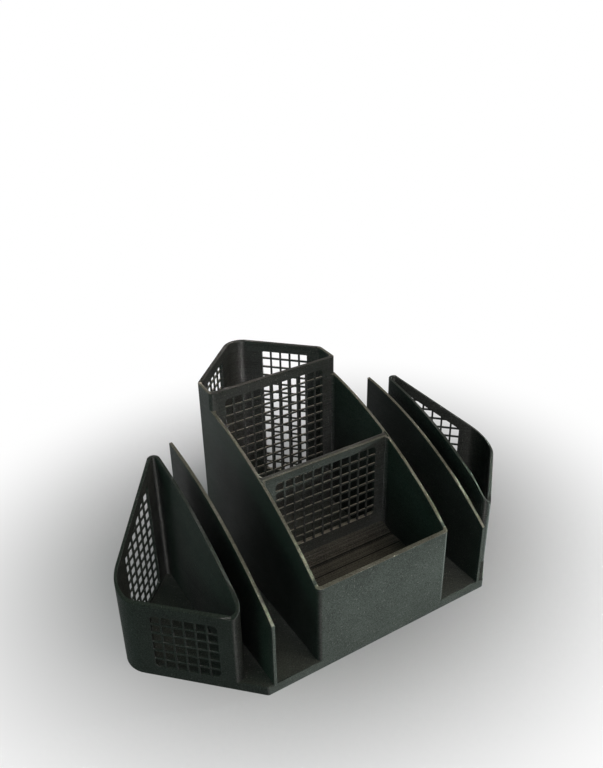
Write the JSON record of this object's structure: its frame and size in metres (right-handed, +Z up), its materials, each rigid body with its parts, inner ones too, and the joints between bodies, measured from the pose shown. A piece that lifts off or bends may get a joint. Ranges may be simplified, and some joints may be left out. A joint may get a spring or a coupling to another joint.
{
  "type": "stationery holder",
  "caption": "Free-standing desk holder: a stepped box of open compartments with mesh dividers, flanked by upright slots and triangular mesh-walled pockets.",
  "frame": {"origin": "centre of the overall box on the underside of the base plate", "axes": "+X to the right across the slots, +Y from the low front wall to the rear tower, +Z up"},
  "size_m": [0.2044, 0.1348, 0.093],
  "materials": {
    "printed_plastic": "matte black layer-printed plastic with fine horizontal layer lines"
  },
  "bodies": {
    "root": {"base_plate": "printed_plastic", "front_wall": "printed_plastic", "left_side_wall": "printed_plastic", "right_side_wall": "printed_plastic", "scoop_floor": "printed_plastic", "front_mesh_divider": "printed_plastic", "rear_mesh_divider": "printed_plastic", "left_rear_mesh_wall": "printed_plastic", "right_rear_mesh_wall": "printed_plastic", "rear_corner_post": "printed_plastic", "left_slot_divider": "printed_plastic", "left_pocket_front_panel": "printed_plastic", "left_pocket_outer_corner": "printed_plastic", "left_pocket_rear_panel": "printed_plastic", "left_pocket_side_wall": "printed_plastic", "right_slot_divider": "printed_plastic", "right_pocket_front_panel": "printed_plastic", "right_pocket_outer_corner": "printed_plastic", "right_pocket_rear_panel": "printed_plastic", "right_pocket_side_wall": "printed_plastic"}
  },
  "joints": []
}
